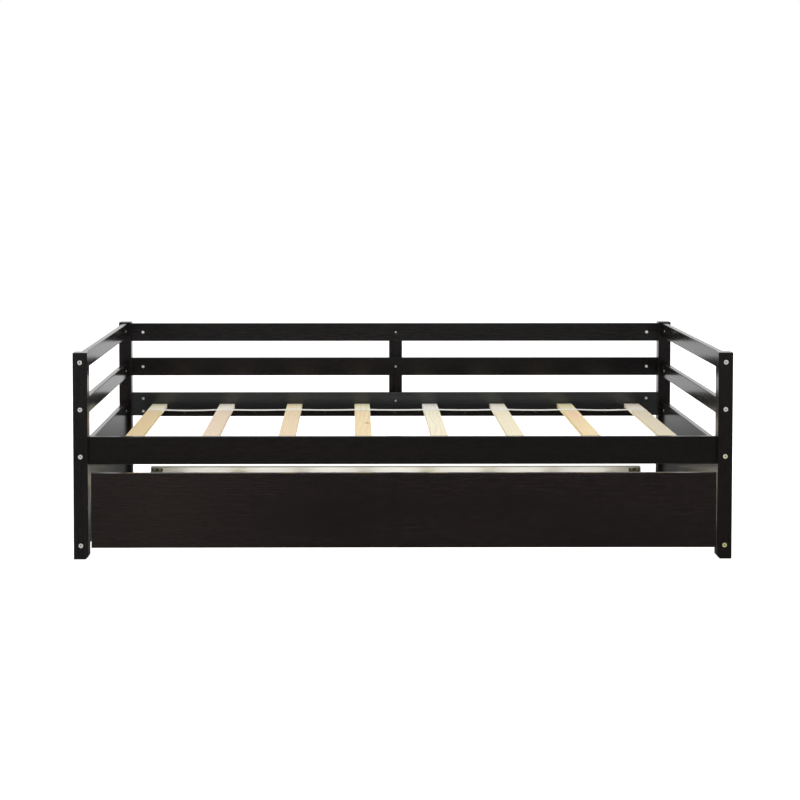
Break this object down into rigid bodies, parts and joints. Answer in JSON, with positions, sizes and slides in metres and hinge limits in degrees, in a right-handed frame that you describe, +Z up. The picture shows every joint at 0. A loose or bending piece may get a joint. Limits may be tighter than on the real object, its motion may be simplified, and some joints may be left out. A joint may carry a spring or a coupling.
{
  "type": "trundle bed",
  "caption": "Low wooden daybed with railed back and ends over a slatted base, and a slatted trundle with a tall front panel that rolls out from under it.",
  "frame": {"origin": "on the floor, at the centre of the bed frame's footprint", "axes": "+X along the bed's length, to the right seen from the open front; +Y from the front to the railed back; +Z up"},
  "size_m": [1.9844, 1.0594, 0.6235],
  "materials": {
    "espresso_wood": "near-black espresso lacquer on pine, semi-gloss, fine grain",
    "pine": "pale unfinished pine",
    "webbing": "white woven polyester webbing",
    "zinc_steel": "bright zinc plate",
    "dark_steel": "black powder coat",
    "wheel_plastic": "moulded nylon"
  },
  "bodies": {
    "bed_frame": {"back_centre_support": "espresso_wood", "back_cleat": "espresso_wood", "back_lower_rail": "espresso_wood", "back_middle_rail": "espresso_wood", "back_top_rail": "espresso_wood", "barrel_nuts": "zinc_steel", "cleat_screws": "dark_steel", "end_middle_rail_left": "espresso_wood", "end_middle_rail_right": "espresso_wood", "end_panel_left": "espresso_wood", "end_panel_right": "espresso_wood", "end_top_rail_left": "espresso_wood", "end_top_rail_right": "espresso_wood", "frame_bolts": "zinc_steel", "front_cleat": "espresso_wood", "front_rail": "espresso_wood", "post_back_left": "espresso_wood", "post_back_right": "espresso_wood", "post_front_left": "espresso_wood", "post_front_right": "espresso_wood", "rail_dowels": "pine", "slat_1": "pine", "slat_2": "pine", "slat_3": "pine", "slat_4": "pine", "slat_5": "pine", "slat_6": "pine", "slat_7": "pine", "slat_8": "pine", "slat_staples": "zinc_steel", "slat_strap_back": "webbing", "slat_strap_front": "webbing", "support_screws": "zinc_steel"},
    "trundle": {"caster_axles": "zinc_steel", "caster_blocks": "pine", "caster_forks": "zinc_steel", "caster_screws": "zinc_steel", "trundle_corner_brackets": "dark_steel", "trundle_front_cleat": "pine", "trundle_front_panel": "espresso_wood", "trundle_rear_cleat": "pine", "trundle_rear_rail": "pine", "trundle_screws": "zinc_steel", "trundle_side_left": "pine", "trundle_side_right": "pine", "trundle_slat_1": "pine", "trundle_slat_2": "pine", "trundle_slat_3": "pine", "trundle_slat_4": "pine", "trundle_slat_5": "pine", "trundle_slat_6": "pine", "trundle_slat_7": "pine", "trundle_slat_8": "pine", "trundle_staples": "zinc_steel", "trundle_strap_back": "webbing", "trundle_strap_front": "webbing"},
    "front_left_wheel": {"wheel_front_left": "wheel_plastic"},
    "front_right_wheel": {"wheel_front_right": "wheel_plastic"},
    "back_left_wheel": {"wheel_back_left": "wheel_plastic"},
    "back_right_wheel": {"wheel_back_right": "wheel_plastic"}
  },
  "joints": [
    {"name": "trundle_roll_out", "type": "slide", "parent": "bed_frame", "child": "trundle", "axis": [0, -1, 0], "range_m": [0, 1]},
    {"name": "front_left_wheel_roll", "type": "hinge", "parent": "trundle", "child": "front_left_wheel", "pos_m": [-0.836, -0.3455, 0.025], "axis": [1, 0, 0], "range_deg": [0, 2292]},
    {"name": "front_right_wheel_roll", "type": "hinge", "parent": "trundle", "child": "front_right_wheel", "pos_m": [0.842, -0.3455, 0.025], "axis": [1, 0, 0], "range_deg": [0, 2292]},
    {"name": "back_left_wheel_roll", "type": "hinge", "parent": "trundle", "child": "back_left_wheel", "pos_m": [-0.836, 0.4005, 0.025], "axis": [1, 0, 0], "range_deg": [0, 2292]},
    {"name": "back_right_wheel_roll", "type": "hinge", "parent": "trundle", "child": "back_right_wheel", "pos_m": [0.842, 0.4005, 0.025], "axis": [1, 0, 0], "range_deg": [0, 2292]}
  ],
  "couplings": [
    {"joint": "front_left_wheel_roll", "follows": "trundle_roll_out", "rad_per_m": 40},
    {"joint": "front_right_wheel_roll", "follows": "trundle_roll_out", "rad_per_m": 40},
    {"joint": "back_left_wheel_roll", "follows": "trundle_roll_out", "rad_per_m": 40},
    {"joint": "back_right_wheel_roll", "follows": "trundle_roll_out", "rad_per_m": 40}
  ]
}
